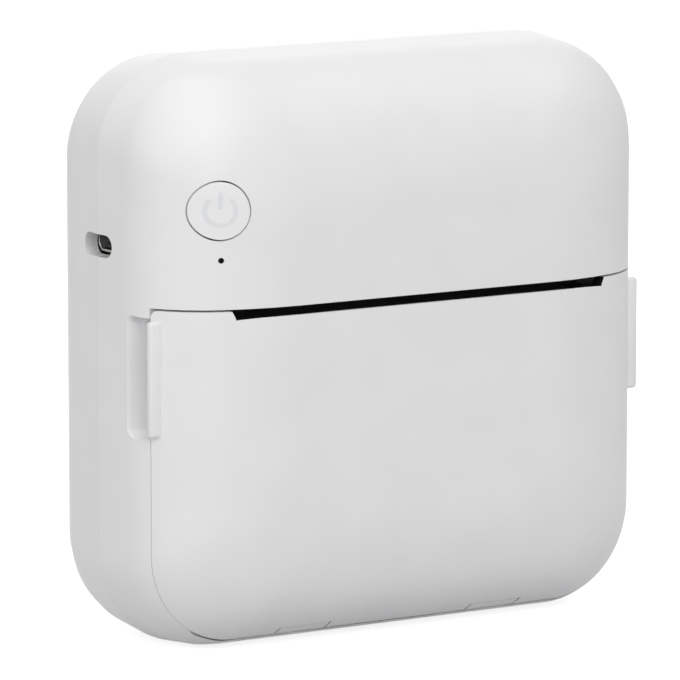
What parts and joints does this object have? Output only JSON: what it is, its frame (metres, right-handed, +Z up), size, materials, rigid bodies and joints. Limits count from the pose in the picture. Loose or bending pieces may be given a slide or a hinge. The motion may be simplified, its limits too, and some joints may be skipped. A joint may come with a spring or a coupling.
{
  "type": "portable thermal printer",
  "caption": "Pocket thermal printer, square with rounded edges, with a bottom-hinged front cover, platen and gear train, sprung print head, roll bay, power button and battery.",
  "frame": {"origin": "middle of the foot, on the surface that the printer stands on", "axes": "+X to the right seen from the front, -Y the front, +Z up"},
  "size_m": [0.084, 0.0396, 0.0835],
  "materials": {
    "case_plastic": "moulded, fine spark texture",
    "button_plastic": "moulded, satin",
    "inner_plastic": "moulded, matte",
    "frame_steel": "pressed sheet",
    "tear_steel": "stamped stainless strip",
    "spring_steel": "cold rolled strip",
    "ground_steel": "ground bar",
    "screw_steel": "nickel plated",
    "platen_rubber": "ground rubber",
    "bushing_plastic": "acetal",
    "gear_plastic": "natural acetal",
    "pinion_brass": "hobbed",
    "motor_can": "drawn can",
    "head_ceramic": "glazed alumina",
    "heatsink_aluminium": "milled plate",
    "board_laminate": "solder mask",
    "component_plastic": "moulded packages",
    "switch_metal": "folded cover",
    "plunger_plastic": "moulded",
    "socket_metal": "nickel plated shell",
    "lamp_resin": "cast resin",
    "guide_acrylic": "clear acrylic",
    "battery_foil": "laminated pouch",
    "foam_tape": "adhesive foam",
    "cable_film": "polyimide film"
  },
  "bodies": {
    "body": {"main_housing": "case_plastic", "rear_shell": "case_plastic", "roll_bay": "inner_plastic", "case_screws": "screw_steel", "bay_screws": "screw_steel", "mech_frame": "frame_steel", "frame_screws": "screw_steel", "head_spring": "spring_steel", "head_rod": "ground_steel", "stepper_motor": "motor_can", "gear_posts": "ground_steel", "tear_bar": "tear_steel", "paper_sensor": "component_plastic", "main_board": "board_laminate", "board_parts": "component_plastic", "usb_socket": "socket_metal", "status_lamp": "lamp_resin", "light_guide": "guide_acrylic", "button_board": "board_laminate", "power_switch": "switch_metal", "battery": "battery_foil", "battery_tape": "foam_tape", "head_cable": "cable_film"},
    "cover": {"front_cover": "case_plastic", "hinge_pins": "ground_steel", "platen_bushings": "bushing_plastic"},
    "platen": {"platen_shaft": "ground_steel", "platen_roller": "platen_rubber", "platen_gear": "gear_plastic"},
    "idler": {"idler_gear": "gear_plastic"},
    "reduction": {"reduction_gear": "gear_plastic"},
    "rotor": {"motor_pinion": "pinion_brass", "motor_shaft": "ground_steel"},
    "head": {"print_head": "head_ceramic", "head_heatsink": "heatsink_aluminium"},
    "button": {"power_button": "button_plastic"},
    "plunger": {"switch_plunger": "plunger_plastic"}
  },
  "joints": [
    {"name": "cover_hinge", "type": "hinge", "parent": "body", "child": "cover", "pos_m": [0, -0.01111, 0.00335], "axis": [1, 0, 0], "range_deg": [0, 90]},
    {"name": "platen_spin", "type": "hinge", "parent": "cover", "child": "platen", "pos_m": [0, -0.00935, 0.04295], "axis": [1, 0, 0], "continuous": true},
    {"name": "idler_spin", "type": "hinge", "parent": "body", "child": "idler", "pos_m": [0, -0.00035, 0.04295], "axis": [1, 0, 0], "continuous": true},
    {"name": "reduction_spin", "type": "hinge", "parent": "body", "child": "reduction", "pos_m": [0, 0.00453, 0.03599], "axis": [1, 0, 0], "continuous": true},
    {"name": "motor_spin", "type": "hinge", "parent": "body", "child": "rotor", "pos_m": [0, 0.00827, 0.04526], "axis": [1, 0, 0], "continuous": true},
    {"name": "head_pivot", "type": "hinge", "parent": "body", "child": "head", "pos_m": [0, -0.00102, 0.04905], "axis": [-1, 0, 0], "range_deg": [0, 3], "stiffness_Nm_per_rad": 0.02, "deforming": ["head_spring"]},
    {"name": "button_press", "type": "slide", "parent": "body", "child": "button", "axis": [0, 1, 0], "range_m": [0, 0.0003], "stiffness_N_per_m": 2000},
    {"name": "plunger_press", "type": "slide", "parent": "body", "child": "plunger", "axis": [0, 1, 0], "range_m": [0, 0.0003]}
  ],
  "couplings": [
    {"joint": "idler_spin", "follows": "platen_spin", "ratio": -0.8},
    {"joint": "reduction_spin", "follows": "platen_spin", "ratio": 1.1429},
    {"joint": "motor_spin", "follows": "platen_spin", "ratio": -2.6667},
    {"joint": "plunger_press", "follows": "button_press", "ratio": 1}
  ]
}
